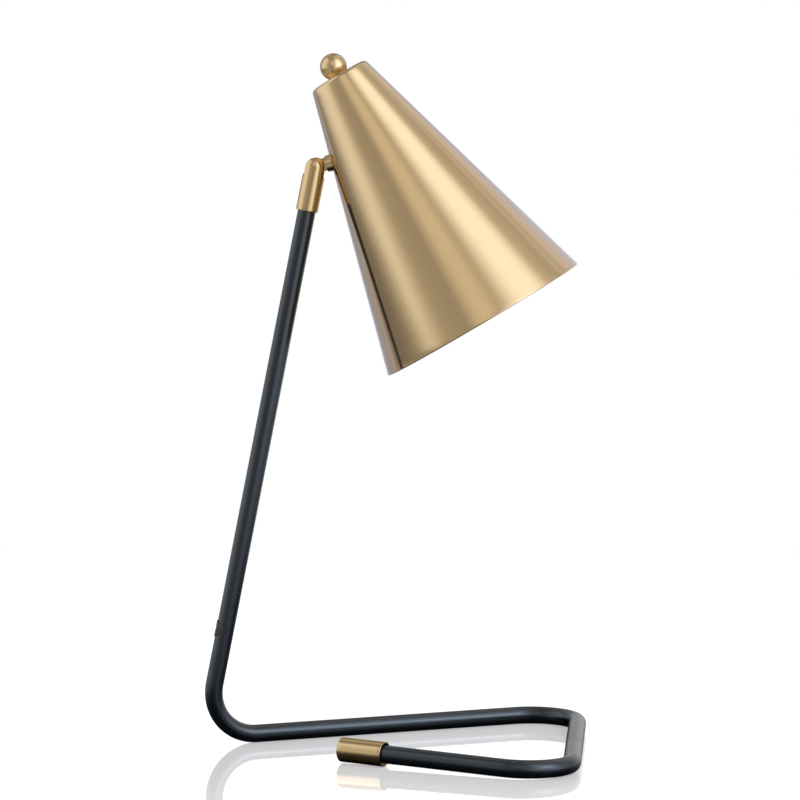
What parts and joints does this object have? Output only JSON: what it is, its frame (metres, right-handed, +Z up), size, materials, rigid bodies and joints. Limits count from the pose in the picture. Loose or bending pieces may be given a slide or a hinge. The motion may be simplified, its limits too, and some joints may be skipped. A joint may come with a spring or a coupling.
{
  "type": "table lamp",
  "caption": "Table lamp with a brass cone shade that tilts on a slender stem, bent from one tube with its triangular base.",
  "frame": {"origin": "on the table, in the stem's own plane, under the middle of the lamp's length; the middle of its bounding box is 1 mm towards -Y", "axes": "+Z up; +X from the heel of the base, where the stem starts, towards the cross bar under the shade; +Y towards the back run of the base"},
  "size_m": [0.27, 0.2328, 0.492],
  "materials": {
    "tube_paint": "glossy blue-black enamel",
    "brass": "brushed and clear lacquered",
    "steel": "zinc plated",
    "black_plastic": "moulded phenolic",
    "lead_sheath": "matt",
    "porcelain": "glazed",
    "opal_glass": "opal white",
    "bulb_shell": "bright rolled",
    "black_glass": "black"
  },
  "bodies": {
    "stand": {"bent_tube": "tube_paint", "end_cap": "brass", "cord_bush": "black_plastic", "fork_sleeve": "brass", "sleeve_set_screw": "steel", "pivot_pins": "brass", "friction_washers": "steel", "stem_lead": "lead_sheath"},
    "shade_head": {"tongue": "brass", "saddle_washer": "brass", "inner_washer": "steel", "stub_nut": "steel", "shade_shell": "brass", "finial_ball": "brass", "threaded_nipple": "steel", "top_washer": "steel", "top_nut": "steel", "holder_cap": "black_plastic", "holder_body": "black_plastic", "holder_insulator": "porcelain", "screw_shell": "steel", "centre_contact": "brass", "terminal_screws": "brass", "shade_lead": "lead_sheath", "bulb_glass": "opal_glass", "bulb_base": "bulb_shell", "bulb_tip_glass": "black_glass", "bulb_tip_contact": "steel"}
  },
  "joints": [
    {"name": "shade_tilt", "type": "hinge", "parent": "stand", "child": "shade_head", "pos_m": [-0.05518, 0, 0.41247], "axis": [0, -1, 0], "range_deg": [-25, 90]}
  ]
}
